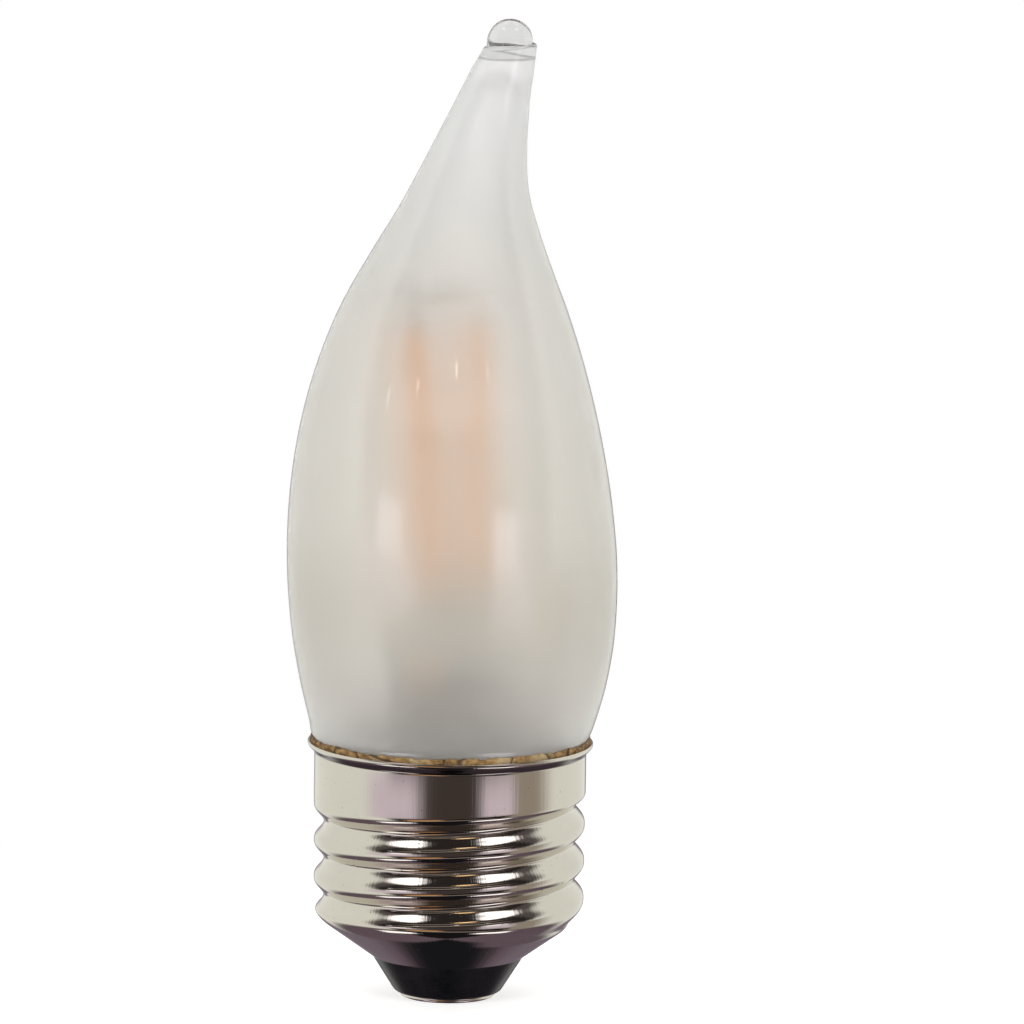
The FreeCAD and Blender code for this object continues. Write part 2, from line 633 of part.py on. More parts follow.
class FilamentPlace:
    """Where a filament stands: its foot on a lower carrier, its head on the top ring, and a
    frame whose first axis runs along it and whose last points outwards."""

    def __init__(self, index):
        angle = STEM_TURN + 360 / FILAMENT_COUNT * (index + 0.5)
        out = Vector(math.cos(math.radians(angle)), math.sin(math.radians(angle)), 0)
        touch = CARRIER_WIRE_DIAMETER / 2 - WELD_DEPTH
        self.foot = Vector(0, 0, LOWER_CARRIER) + out * (LOWER_CARRIER_RADIUS + touch)
        axis = Vector(POST_AXIS).normalize()
        out_above = (out - axis * out.dot(axis)).normalize()
        self.head = cage_top() + out_above * (UPPER_CARRIER_RADIUS + touch)
        self.along = (self.head - self.foot).normalize()
        self.length = self.foot.distanceToPoint(self.head)
        self.side = out.cross(self.along).normalize()
        self.outward = self.along.cross(self.side).normalize()

    def bar(self, start, end, width, low, high):
        """A straight bar from start to end along the filament, between two levels outwards."""
        corner = self.foot + self.along * start - self.side * (width / 2) + self.outward * low
        bar = Part.makeBox(end - start, width, high - low)
        turn = FreeCAD.Rotation(self.along, self.side, self.outward, "XYZ")
        bar.Placement = FreeCAD.Placement(corner, turn)
        return bar

    def lower_tab(self):
        return self.bar(-TAB_TAIL, TAB_LENGTH, TAB_WIDTH, 0, TAB_THICKNESS)

    def upper_tab(self):
        start = self.length - TAB_LENGTH
        return self.bar(start, self.length + TAB_TAIL, TAB_WIDTH, 0, TAB_THICKNESS)

    def substrate(self):
        start = TAB_LENGTH - TAB_LAP
        high = TAB_THICKNESS + SUBSTRATE_THICKNESS
        return self.bar(start, self.length - start, SUBSTRATE_WIDTH, TAB_THICKNESS, high)

    def chips(self):
        first = TAB_LENGTH + COAT_TAB_GAP + CHIP_PITCH / 2
        count = int((self.length - 2 * first - CHIP_LENGTH) / CHIP_PITCH) + 1
        low = TAB_THICKNESS + SUBSTRATE_THICKNESS
        slack = (self.length - (count - 1) * CHIP_PITCH - CHIP_LENGTH) / 2
        high = low + CHIP_THICKNESS
        starts = [slack + i * CHIP_PITCH for i in range(count)]
        return [self.bar(s, s + CHIP_LENGTH, CHIP_WIDTH, low, high) for s in starts]

    def coat(self, substrate, chips):
        start = TAB_LENGTH + COAT_TAB_GAP
        low = TAB_THICKNESS - COAT_COVER
        high = TAB_THICKNESS + SUBSTRATE_THICKNESS + COAT_COVER
        coat = self.bar(start, self.length - start, COAT_WIDTH, low, high)
        long_edges = [e for e in coat.Edges if e.Length > self.length / 2]
        coat = coat.makeFillet(COAT_EDGE_ROUND, long_edges)
        return coat.cut(substrate).cut(Part.makeCompound(chips))


# Driver board


def driver_board():
    plate = block(
        (BOARD_WIDTH, BOARD_THICKNESS, BOARD_HIGH - BOARD_LOW),
        Vector(-BOARD_WIDTH / 2, BOARD_FRONT, BOARD_LOW),
    )
    tongue = block(
        (BOARD_TONGUE_WIDTH, BOARD_THICKNESS, BOARD_TONGUE_DEPTH),
        Vector(-BOARD_TONGUE_WIDTH / 2, BOARD_FRONT, BOARD_LOW - BOARD_TONGUE_DEPTH),
    )
    return plate.fuse(tongue).removeSplitter()


def pin_pair(x, level, pitch):
    """Two solder pins from a part on the board's front, through the board."""
    length = PART_STANDOFF + BOARD_THICKNESS + PIN_DIAMETER
    start = BOARD_FRONT - PART_STANDOFF
    return [
        Part.makeCylinder(PIN_DIAMETER / 2, length, Vector(px, start, level), Vector(0, 1, 0))
        for px in (x - pitch / 2, x + pitch / 2)
    ]


def smoothing_capacitor():
    back = Vector(DRUM_OFFSET, BOARD_FRONT - PART_STANDOFF, DRUM_LEVEL)
    can = Part.makeCylinder(CAPACITOR_DIAMETER / 2, CAPACITOR_LENGTH, back, Vector(0, -1, 0))
    can = can.makeFillet(CAPACITOR_EDGE_ROUND, [e for e in can.Edges if e.Closed])
    return can.fuse(pin_pair(DRUM_OFFSET, DRUM_LEVEL, CAPACITOR_PIN_PITCH))


def drum_part(x, sizes):
    """A wound or ferrite drum whose radius changes along its length, standing off the board."""
    start = BOARD_FRONT - PART_STANDOFF
    pieces = []
    for length, diameter in sizes:
        low = Vector(x, start, DRUM_LEVEL)
        pieces.append(Part.makeCylinder(diameter / 2, length, low, Vector(0, -1, 0)))
        start -= length
    return pieces


def choke_core():
    waist = CHOKE_LENGTH - 2 * CHOKE_FLANGE
    flange = (CHOKE_FLANGE, CHOKE_DIAMETER)
    middle = (waist, CHOKE_WAIST_DIAMETER)
    first, *rest = drum_part(-DRUM_OFFSET, [flange, middle, flange])
    return first.fuse(rest + pin_pair(-DRUM_OFFSET, DRUM_LEVEL, CHOKE_PIN_PITCH))


def choke_winding():
    waist = CHOKE_LENGTH - 2 * CHOKE_FLANGE
    back = BOARD_FRONT - PART_STANDOFF - CHOKE_FLANGE
    centre = Vector(-DRUM_OFFSET, back, DRUM_LEVEL)
    outward = Vector(0, -1, 0)
    wound = Part.makeCylinder(CHOKE_WINDING_DIAMETER / 2, waist, centre, outward)
    return wound.cut(Part.makeCylinder(CHOKE_WAIST_DIAMETER / 2, waist, centre, outward))


def film_capacitor_pins():
    return pin_pair(0, FILM_CAPACITOR_LOW + FILM_CAPACITOR_HEIGHT / 2, FILM_CAPACITOR_WIDTH / 2)


def film_capacitor():
    front = BOARD_FRONT - PART_STANDOFF - FILM_CAPACITOR_DEPTH
    body = block(
        (FILM_CAPACITOR_WIDTH, FILM_CAPACITOR_DEPTH, FILM_CAPACITOR_HEIGHT),
        Vector(-FILM_CAPACITOR_WIDTH / 2, front, FILM_CAPACITOR_LOW),
    )
    body = body.makeFillet(FILM_CAPACITOR_EDGE_ROUND, body.Edges)
    return body.fuse(film_capacitor_pins())


def surface_mount(size, side, gap, legs):
    """A moulded package on the board's back, to one side of the chip resistors, with a row of
    flat legs above and below it."""
    width, depth, height = size
    x = CHIP_RESISTOR_PLACE[0] + side * (CHIP_RESISTOR_SIZE[0] / 2 + gap + width / 2)
    level = BOARD_LOW + SURFACE_MOUNT_HEIGHT
    body = block(size, Vector(x - width / 2, BOARD_BACK, level - height / 2))
    free_edges = [e for e in body.Edges if e.CenterOfMass.y > BOARD_BACK + depth / 4]
    body = body.makeFillet(LEG_THICKNESS, free_edges)
    pitch = width / legs
    feet = []
    for i in range(legs):
        left = x - width / 2 + pitch * (i + 0.5) - LEG_WIDTH / 2
        for low in (level - height / 2 - LEG_REACH, level + height / 2):
            feet.append(block((LEG_WIDTH, LEG_THICKNESS, LEG_REACH), Vector(left, BOARD_BACK, low)))
    return body.fuse(feet)


def fuse_resistor():
    radius = FUSE_RESISTOR_DIAMETER / 2
    level = BOARD_LOW + FUSE_RESISTOR_HEIGHT
    y = BOARD_BACK + radius + LEG_THICKNESS
    start = Vector(-FUSE_RESISTOR_LENGTH / 2, y, level)
    body = Part.makeCylinder(radius, FUSE_RESISTOR_LENGTH, start, Vector(1, 0, 0))
    body = body.makeFillet(FUSE_RESISTOR_EDGE_ROUND, [e for e in body.Edges if e.Closed])
    reach = FUSE_RESISTOR_LENGTH / 2 + FUSE_RESISTOR_PIN_REACH
    points = [Vector(-reach, BOARD_BACK, level), Vector(-reach, y, level)]
    points += [Vector(reach, y, level), Vector(reach, BOARD_BACK, level)]
    return body.fuse(bent_wire(points, PIN_DIAMETER / 2, PIN_DIAMETER))


def chip_resistors():
    x, over_board = CHIP_RESISTOR_PLACE
    left = x - CHIP_RESISTOR_SIZE[0] / 2
    levels = [BOARD_LOW + over_board + CHIP_RESISTOR_PITCH * i for i in range(CHIP_RESISTOR_COUNT)]
    return [block(CHIP_RESISTOR_SIZE, Vector(left, BOARD_BACK, level)) for level in levels]


def live_wire():
    """From the solder in the end contact up to the front of the board's tongue."""
    low = Vector(0, 0, SOLDER_LENGTH + SOLDER_RECESS - LIVE_WIRE_SOLDERED)
    level = BOARD_LOW - BOARD_TONGUE_DEPTH / 2
    points = [low, Vector(0, 0, level), Vector(0, BOARD_FRONT, level)]
    return bent_wire(points, LIVE_WIRE_DIAMETER / 2, LIVE_WIRE_BEND)


def neutral_joint():
    """The centre of the solder bead that joins the neutral wire to the inside of the cone."""
    x, over_board = NEUTRAL_WIRE_PLACE
    level = BOARD_LOW + over_board
    wall = HOLE_RADIUS + CONE_SLOPE * (level - HOLE_EDGE_TOP)
    standing = NEUTRAL_SOLDER_DIAMETER / 2 - NEUTRAL_SOLDER_BITE
    radius = wall - standing * math.hypot(1, CONE_SLOPE)
    return Vector(x, math.sqrt(radius * radius - x * x), level)


def neutral_wire():
    """From the back of the board straight out into its solder bead."""
    end = neutral_joint()
    return rod(Vector(end.x, BOARD_BACK, end.z), end, NEUTRAL_WIRE_DIAMETER / 2)


def neutral_solder(wire, shell):
    return Part.makeSphere(NEUTRAL_SOLDER_DIAMETER / 2, neutral_joint()).cut(shell).cut(wire)


def build_parts():
    parts = {}
    live = live_wire()
    shell = screw_shell()
    parts["end_contact"] = end_contact()
    parts["contact_solder"] = contact_solder(live)
    parts["insulator"] = insulator()
    parts["screw_shell"] = shell
    body = flame_body()
    parts["basing_cement"] = basing_cement(shell, body)
    parts["glass_envelope"] = body.fuse(tip_bead()).cut(flame_bore())

    leads = {"a": lead_wire(1), "b": lead_wire(-1)}
    pinch = stem()
    post = glass_post(pinch)
    ring = top_carrier()
    port = exhaust_port()
    parts["stem"] = pinch.cut(port).cut(Part.makeCompound(list(leads.values())))
    parts["exhaust_tube"] = exhaust_tube()
    parts["glass_post"] = post.cut(ring)
    carriers = {"a": lower_carrier(1), "b": lower_carrier(-1)}

    tabs = []
    for index in range(FILAMENT_COUNT):
        place = FilamentPlace(index)
        name = f"filament_{index + 1}"
        substrate = place.substrate()
        chips = place.chips()
        parts[name + "_lower_tab"] = place.lower_tab()
        parts[name + "_upper_tab"] = place.upper_tab()
        parts[name + "_substrate"] = substrate
        parts[name + "_chips"] = Part.makeCompound(chips)
        parts[name + "_phosphor"] = place.coat(substrate, chips)
        tabs += [place.lower_tab(), place.upper_tab()]
    welded = Part.makeCompound(tabs)
    for key, lead in leads.items():
        parts["lead_wire_" + key] = lead.cut(carriers[key])
        parts["lower_carrier_" + key] = carriers[key].cut(welded)
    parts["top_carrier"] = ring.cut(welded)

    pins = pin_pair(DRUM_OFFSET, DRUM_LEVEL, CAPACITOR_PIN_PITCH)
    pins += pin_pair(-DRUM_OFFSET, DRUM_LEVEL, CHOKE_PIN_PITCH)
    pins += film_capacitor_pins()
    neutral = neutral_wire()
    parts["driver_board"] = driver_board().cut(Part.makeCompound(pins))
    parts["smoothing_capacitor"] = smoothing_capacitor()
    parts["choke_core"] = choke_core()
    parts["choke_winding"] = choke_winding()
    parts["film_capacitor"] = film_capacitor()
    parts["bridge_rectifier"] = surface_mount(RECTIFIER_SIZE, -1, RECTIFIER_GAP, RECTIFIER_LEGS)
    parts["driver_chip"] = surface_mount(CHIP_SIZE, 1, CHIP_GAP, CHIP_LEGS)
    parts["fuse_resistor"] = fuse_resistor()
    parts["chip_resistors"] = Part.makeCompound(chip_resistors())
    parts["live_wire"] = live
    parts["neutral_wire"] = neutral
    parts["neutral_solder"] = neutral_solder(neutral, shell)
    return parts


os.makedirs("parts", exist_ok=True)
for node, shape in build_parts().items():
    shape.exportStep(f"parts/{node}.step")
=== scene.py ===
"""A bent-tip candle bulb on a medium screw cap, built over its CAD frame in a white studio."""

import json
import math

import bmesh
import bpy
from bpy.props import FloatProperty, FloatVectorProperty, IntProperty, PointerProperty
from mathutils import Matrix, Vector, noise


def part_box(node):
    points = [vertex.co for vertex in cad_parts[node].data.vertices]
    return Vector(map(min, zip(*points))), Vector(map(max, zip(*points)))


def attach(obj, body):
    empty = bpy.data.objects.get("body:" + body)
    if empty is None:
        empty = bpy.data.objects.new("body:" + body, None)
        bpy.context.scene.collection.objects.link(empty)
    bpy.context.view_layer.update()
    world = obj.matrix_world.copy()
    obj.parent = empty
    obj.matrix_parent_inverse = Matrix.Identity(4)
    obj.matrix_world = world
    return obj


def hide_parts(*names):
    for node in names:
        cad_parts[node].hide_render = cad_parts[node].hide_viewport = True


bl_info = {
    "name": "Candle Bulb",
    "version": (1, 0, 0),
    "blender": (4, 5, 0),
    "location": "View3D > Sidebar > Candle Bulb",
    "description": "Builds the glass, cap, filaments and studio of a bent-tip candle bulb",
    "category": "Object",
}

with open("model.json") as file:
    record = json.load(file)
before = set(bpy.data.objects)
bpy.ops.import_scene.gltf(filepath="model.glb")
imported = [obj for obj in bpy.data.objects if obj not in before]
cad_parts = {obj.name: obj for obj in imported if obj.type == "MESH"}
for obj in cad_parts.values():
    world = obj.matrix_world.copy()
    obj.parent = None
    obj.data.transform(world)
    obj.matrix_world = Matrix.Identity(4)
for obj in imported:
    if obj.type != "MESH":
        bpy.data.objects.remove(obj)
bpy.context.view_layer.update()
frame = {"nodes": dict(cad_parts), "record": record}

MM = 0.001
IMAGE_SIZE = 1024

# Levels and radii of the cap, in millimetres, from the end contact's lower face and the cap's axis
SHELL_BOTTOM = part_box("screw_shell")[0][2] / MM
BAND_START, BAND_END = 2.6, 16.3
SKIRT_RADIUS, SKIRT_STEP, SKIRT_HEIGHT = 13.15, 0.05, 3.75
LIP_FLARE, LIP_FLARE_RADIUS, LIP_RIM, SHEET = 0.65, 0.55, 0.35, 0.3
CREST_RADIUS = SKIRT_RADIUS - SKIRT_STEP
HOLE_RADIUS = CREST_RADIUS - 5.75
CONE_SLOPE = math.tan(math.radians(54.5))
HOLE_EDGE = SHELL_BOTTOM + SHEET * math.hypot(1, CONE_SLOPE) / CONE_SLOPE
SHOULDER_BLEND = 1.2
SKIRT_TOP = SHELL_BOTTOM + BAND_END + SKIRT_HEIGHT
LIP_TOP = SKIRT_TOP + LIP_FLARE + LIP_RIM
SKIRT_BORE = SKIRT_RADIUS - SHEET
LIP_BORE = SKIRT_BORE + LIP_FLARE
CEMENT_DEPTH = 4.4

# The rolled thread. Its groove fades in and out over these degrees of its turns.
THREAD_PITCH, THREAD_DEPTH, FIRST_ROOT = 25.4 / 7, 0.95, 4.0
ROOT_SHARPNESS = 1.35
RUN_IN, RUN_OUT = (-110, 70), (1080, 1200)

# The insulator and the contact below it
CONTACT_RADIUS, CONTACT_THICKNESS = 4.6, 0.45
EYELET_RADIUS, EYELET_BORE, COLLAR_RADIUS = 1.6, 1.3, 2.4
FOOT_RADIUS, WELL_RADIUS, WELL_FLOOR = 5.1, 3.4, 2.4
FLANGE_REACH, FLANGE_EDGE, INSULATOR_WALL = 1.25, 0.35, 1.0

# The flame. Each station is its height as a share of the flame's length, its width, its shift as a
# share of the tip's lean, and the tilt of its plane. The belly's widths run from 0 at the seat to 1 at
# the widest place, and the taper's are shares of the widest radius.
GLASS_RADIUS, FLAME_LENGTH, TIP_LEAN = 15.94, 67.3, 4.84
NECK_DEPTH, NECK_RADIUS = 8.05, SKIRT_BORE - 1.95
SHOULDER_DEPTH, SHOULDER_RADIUS = 2.5, SKIRT_BORE - 1.25
SEAT_HEIGHT, SEAT_RADIUS = 0.65, LIP_BORE - 0.08
TIP_ROUND, BEAD_RISE, CLEAR_TIP = 0.35, 0.65, 0.7
BORE_END_WALL, BORE_END_RADIUS, BORE_END_ROUND = 2.3, 0.5, 0.3
BORE_END_SHIFT, BORE_TIP_SHIFT = 0.575, 0.5
BELLY_STATIONS = ((0.03, 0.163, 0.027, 0.0), (0.088, 0.56, 0.041, 0.0), (0.163, 0.881, 0.027, 0.0))
TAPER_STATIONS = (
    (0.257, 1.0, -0.012, 0.0),
    (0.355, 0.974, -0.062, 0.0),
    (0.45, 0.911, -0.093, 0.0),
    (0.538, 0.818, -0.083, 0.5),
    (0.621, 0.695, -0.012, 2.5),
    (0.695, 0.55, 0.112, 5.5),
    (0.753, 0.434, 0.229, 8.5),
    (0.81, 0.338, 0.335, 11.5),
    (0.868, 0.27, 0.512, 14.1),
    (0.935, 0.208, 0.744, 10.4),
    (0.97, 0.185, 0.878, 3.9),
    (1.0, 0.164, 1.0, -5.0),
)

# How finely the meshes are cut: rings in each span and in the bead, rows of the thread, facets
# round the cap's pieces, and the height over which the thread's slope is measured
SPAN_RINGS, DOME_RINGS, THREAD_ROWS = 8, 24, 110
SHELL_SIDES, INSULATOR_SIDES, CONTACT_SIDES, CEMENT_SIDES = 288, 144, 96, 480
SLOPE_STEP = 0.01

# What the bulb mirrors: for each card or lamp its azimuths from the camera's side towards +X, its
# elevations, how soft its edges are both ways, in degrees, and its colour
SURROUNDINGS = (
    ((50, 90), (-40, -4), (14, 4), (0.38, 0.33, 0.28)),
    ((-260, 260), (-100, -38), (1, 6), (0.15, 0.11, 0.14)),
    ((-260, -166), (-16, 90), (5, 6), (0.4, 0.35, 0.39)),
    ((166, 260), (-16, 90), (5, 6), (0.22, 0.18, 0.21)),
    ((-260, -160), (-44, -16), (6, 5), (0.2, 0.16, 0.2)),
    ((160, 260), (-44, -16), (6, 5), (0.2, 0.16, 0.2)),
    ((-260, -162), (-100, -50), (6, 3), (0.012, 0.012, 0.015)),
    ((162, 260), (-100, -50), (6, 3), (0.012, 0.012, 0.015)),
    ((-66, 74), (4, 90), (6, 5), (0.03, 0.025, 0.025)),
    ((-50, 54), (-90, -17), (8, 3), (0.012, 0.01, 0.012)),
    ((-18, 24), (-16, 4), (12, 2), (0.065, 0.05, 0.048)),
    ((-46, 50), (18, 24), (12, 2), (0.42, 0.36, 0.33)),
    ((-46, 50), (38, 44), (12, 2), (0.3, 0.25, 0.22)),
    ((-40, 44), (-36, -30), (12, 2), (0.36, 0.31, 0.28)),
    ((-72, -26), (-14, -3), (10, 3), (0.8, 0.69, 0.8)),
    ((27, 57), (-14, -3), (7, 3), (0.8, 0.69, 0.8)),
    ((-53, -34), (-4, 5), (5, 2), (1.5, 1.4, 1.5)),
    ((30, 49), (-4, 5), (5, 2), (1.4, 1.3, 1.4)),
    ((-95, -46), (56, 68), (8, 4), (2.6, 2.5, 2.6)),
    ((40, 92), (56, 68), (8, 4), (2.6, 2.5, 2.6)),
    ((-78, -38), (-56, -46), (7, 3), (2.0, 1.9, 2.0)),
    ((30, 72), (-56, -46), (7, 3), (2.0, 1.9, 2.0)),
    ((-55, -53), (19, 22), (1, 1), (3.0, 2.9, 2.9)),
    ((-30, -28), (24, 26), (1, 1), (4.0, 3.9, 3.9)),
    ((4, 6), (27, 30), (1, 1), (4.0, 3.6, 3.0)),
    ((33, 35), (25, 27), (1, 1), (3.0, 2.9, 2.9)),
    ((4, 26), (50, 55), (4, 2), (2.2, 1.5, 0.8)),
    ((-38, -6), (-30, -21), (6, 3), (0.75, 0.38, 0.16)),
)
ROOM_COLOUR = (0.11, 0.095, 0.095)
CARD_COLOUR = (0.94, 0.95, 0.9)
# The two cards' inner edges lie this far from their middle, and spread with height
CARD_EDGE, CARD_MIDDLE, CARD_SLANT, CARD_SOFT = 67.0, 5.5, 0.6, 9
CARD_FOOT, CARD_HEAD = -34, 72

# The soft lamps' places in metres and each one's share of the power
LAMPS = (((-0.79, -0.82, 0.35), 1.0), ((0.79, -0.82, 0.35), 1.0), ((0.0, -0.2, 1.1), 0.7))
LAMP_SIZE, LAMPS_AIM = 0.6, (0, 0, 0.05)

# The paper: half its width, where its shadow fades out round the bulb, both in metres, and its glow
FLOOR_SIZE, SHADOW_FADE, PAPER_GLOW = 6.0, (0.02, 0.09), 0.6

# The frost's colour by height over the cap's lip, in millimetres: painted shade, darker and warmer over
# the lower glass and lightest at the top
FROST_SHADE_HEIGHTS = (
    (0.0, (0.95, 0.93, 0.89)),
    (8.0, (0.8, 0.765, 0.7)),
    (14.0, (0.79, 0.745, 0.66)),
    (24.0, (0.885, 0.86, 0.79)),
    (42.0, (0.92, 0.905, 0.855)),
    (62.0, (0.97, 0.97, 0.965)),
)


class Link:
    """An output of a shader node. Arithmetic on it adds one Math node for each sign."""

    def __init__(self, tree, socket):
        self.tree = tree
        self.socket = socket

    def math(self, operation, *others):
        return self.tree.add("ShaderNodeMath", {"operation": operation}, dict(enumerate((self, *others))))

    def __add__(self, other):
        return self.math("ADD", other)

    __radd__ = __add__

    def __mul__(self, other):
        return self.math("MULTIPLY", other)

    __rmul__ = __mul__

    def __sub__(self, other):
        return self.math("SUBTRACT", other)

    def __rsub__(self, other):
        return self.tree.add("ShaderNodeMath", {"operation": "SUBTRACT"}, {0: other, 1: self})

    def __truediv__(self, other):
        return self.math("DIVIDE", other)


class Nodes:
    """A node tree, emptied, that takes new nodes in one line each."""

    def __init__(self, tree):
        self.tree = tree
        tree.nodes.clear()

    def add(self, kind, settings=None, sockets=None, output=0):
        node = self.tree.nodes.new(kind)
        for name, value in (settings or {}).items():
            setattr(node, name, value)
        for name, value in (sockets or {}).items():
            if isinstance(value, Link):
                self.tree.links.new(value.socket, node.inputs[name])
            else:
                node.inputs[name].default_value = value
        return Link(self, node.outputs[output]) if len(node.outputs) else None

    def mix(self, factor, first, second):
        """A colour between two colours."""
        settings = {"data_type": "RGBA", "clamp_factor": True}
        sockets = {0: factor, 6: as_colour(first), 7: as_colour(second)}
        return self.add("ShaderNodeMix", settings, sockets, 2)

    def point(self):
        return self.add("ShaderNodeTexCoord", output=3)

    def axes(self, vector):
        """The three parts of a vector."""
        first = self.add("ShaderNodeSeparateXYZ", sockets={0: vector})
        outputs = first.socket.node.outputs
        return [Link(self, outputs[i]) for i in range(3)]

    def join(self, x, y, z):
        return self.add("ShaderNodeCombineXYZ", sockets={0: x, 1: y, 2: z})

    def step(self, value, low, high):
        """A smooth step from 0 to 1 as value goes from low to high."""
        settings = {"interpolation_type": "SMOOTHSTEP"}
        return self.add("ShaderNodeMapRange", settings, {0: value, 1: low, 2: high})

    def band(self, value, low, high, soft):
        """1 where value is between low and high, with soft edges."""
        return self.step(value, low - soft, low + soft) * (1 - self.step(value, high - soft, high + soft))

    def noise(self, vector, scale, detail=3.0, roughness=0.5):
        sockets = {"Vector": vector, "Scale": scale, "Detail": detail, "Roughness": roughness}
        return self.add("ShaderNodeTexNoise", sockets=sockets)

    def bump(self, height, distance, strength=1.0):
        sockets = {"Height": height, "Distance": distance, "Strength": strength}
        return self.add("ShaderNodeBump", sockets=sockets)

    def surface(self, **sockets):
        """The Principled surface, linked to the output. Socket names have _ for each blank."""
        named = {name.replace("_", " "): value for name, value in sockets.items()}
        shader = self.add("ShaderNodeBsdfPrincipled", sockets=named)
        self.add("ShaderNodeOutputMaterial", sockets={"Surface": shader})


def as_colour(value):
    return value if isinstance(value, Link) else (*value, 1.0)


def material(name):
    """A new material and its empty node tree."""
    made = bpy.data.materials.new(name)
    made.use_nodes = True
    return made, Nodes(made.node_tree)


# Finishes


def nickel_finish():
    """Bright nickel plate with fine roll lines, a few pits and painted shade in the crease under the lip.
    """
    made, nodes = material("nickel_plate")
    point = nodes.point()
    x, y, z = nodes.axes(point)
    lines = nodes.noise(nodes.join(y.math("ARCTAN2", x) * 55.0, z * 60.0, 0.0), 1.0, 4.0)
    cloud = nodes.noise(point, 260.0, 3.0)
    pits = nodes.step(nodes.noise(point, 2600.0, 1.0), 0.72, 0.78)
    tint = nodes.mix(cloud, (0.68, 0.64, 0.56), (0.6, 0.57, 0.52))
    tint = nodes.mix(pits * 0.5, tint, (0.25, 0.2, 0.16))
    # Painted shade: the plate is darkened in the crease under the lip's flare
    painted_crease_shade = nodes.band(z / MM - SKIRT_TOP, -0.05, 0.55, 0.1)
    nodes.surface(
        Base_Color=nodes.mix(painted_crease_shade * 0.8, tint, (0.08, 0.07, 0.07)),
        Metallic=1.0,
        Roughness=0.03 + lines * 0.1 + pits * 0.2,
        Normal=nodes.bump(lines, 0.00002, 0.4),
    )
    return made


def black_glass_finish():
    """Glossy black pressed glass with a faint orange-peel surface."""
    made, nodes = material("black_glass")
    ripple = nodes.noise(nodes.point(), 900.0, 2.0)
    nodes.surface(
        Base_Color=nodes.mix(ripple, (0.003, 0.003, 0.004), (0.007, 0.007, 0.009)),
        Roughness=0.22 + ripple * 0.12,
        Specular_IOR_Level=0.22,
        Normal=nodes.bump(ripple, 0.00003, 0.3),
    )
    return made


def cement_finish():
    """Baked brown basing cement with darker grains and hairline cracks."""
    made, nodes = material("basing_cement")
    point = nodes.point()
    grain = nodes.noise(point, 1800.0, 4.0, 0.65)
    patch = nodes.noise(point, 350.0, 2.0)
    settings = {"feature": "DISTANCE_TO_EDGE"}
    cells = nodes.add("ShaderNodeTexVoronoi", settings, {"Vector": point, "Scale": 150.0}, "Distance")
    crack = 1 - nodes.step(cells, 0.005, 0.025)
    tint = nodes.mix(nodes.step(grain, 0.3, 0.7), (0.09, 0.045, 0.014), (0.3, 0.19, 0.075))
    tint = nodes.mix(nodes.step(patch, 0.5, 0.7) * 0.5, tint, (0.42, 0.34, 0.2))
    tint = nodes.mix(crack * 0.8, tint, (0.03, 0.018, 0.01))
    nodes.surface(
        Base_Color=tint,
        Roughness=0.85,
        Normal=nodes.bump(grain - crack, 0.00008, 0.7),
    )
    return made


def frosted_finish(look):
    """Polished glass with a white frost, which blurs what stands behind it, painted shade by height, and a
    painted dark line at its tip.
    """
    made, nodes = material("frosted_glass")
    height = nodes.axes(nodes.point())[2] / MM - LIP_TOP
    # Painted shade: the frost's tint changes with height
    tint = FROST_SHADE_HEIGHTS[0][1]
    for (low, _), (high, colour) in zip(FROST_SHADE_HEIGHTS, FROST_SHADE_HEIGHTS[1:]):
        tint = nodes.mix(nodes.step(height, low, high), tint, colour)
    # Painted shade: a dark grey line where the frost ends below the clear tip
    tip_line_top = FLAME_LENGTH - CLEAR_TIP
    tip_line_shade = nodes.band(height, tip_line_top - 0.25, tip_line_top, 0.08)
    nodes.surface(
        Base_Color=nodes.mix(tip_line_shade * 0.7, tint, (0.2, 0.2, 0.18)),
        Roughness=look.frost_roughness,
        IOR=1.45,
        Transmission_Weight=look.frost_clearness,
        Coat_Weight=1.0,
        Coat_Roughness=0.05,
        Coat_IOR=1.75,
    )
    return made


def inner_frost_finish(look):
    """The frosted inside of the envelope."""
    made, nodes = material("inner_frost")
    grain = nodes.noise(nodes.point(), 2400.0, 1.0)
    nodes.surface(
        Base_Color=nodes.mix(grain, (0.97, 0.97, 0.96), (1.0, 1.0, 1.0)),
        Roughness=look.frost_roughness,
        IOR=1.45,
        Transmission_Weight=1.0,
    )
    return made


def clear_glass_finish(name, dark, light):
    """Clear glass, clouded between two close tints."""
    made, nodes = material(name)
    wave = nodes.noise(nodes.point(), 180.0, 1.0)
    nodes.surface(
        Base_Color=nodes.mix(wave, dark, light),
        Roughness=0.02,
        IOR=1.48,
        Transmission_Weight=1.0,
    )
    return made


def phosphor_finish(look):
    """Orange silicone, thick with phosphor, with a painted glow that brightens it."""
    made, nodes = material("phosphor")
    mottle = nodes.noise(nodes.point(), 1500.0, 3.0)
    tint = nodes.mix(mottle, tuple(look.phosphor_tint), (1.0, 0.45, 0.1))
    nodes.surface(
        Base_Color=tint,
        Roughness=0.45,
        Emission_Color=tint,
        # Painted light: the emission brightens the coat though the chips are not lit
        Emission_Strength=look.phosphor_painted_glow,
        Normal=nodes.bump(mottle, 0.00003, 0.4),
    )
    return made


def plain_finish(name, first, second, scale, roughness, metallic, clear):
    """A finish of two close colours, clouded over the piece, with a fine uneven surface."""
    made, nodes = material(name)
    point = nodes.point()
    cloud = nodes.noise(point, scale, 3.0)
    nodes.surface(
        Base_Color=nodes.mix(nodes.step(cloud, 0.35, 0.65), first, second),
        Roughness=roughness + cloud * 0.1,
        Metallic=metallic,
        Transmission_Weight=clear,
        Normal=nodes.bump(nodes.noise(point, scale * 3, 2.0), 0.00002, 0.3),
    )
    return made


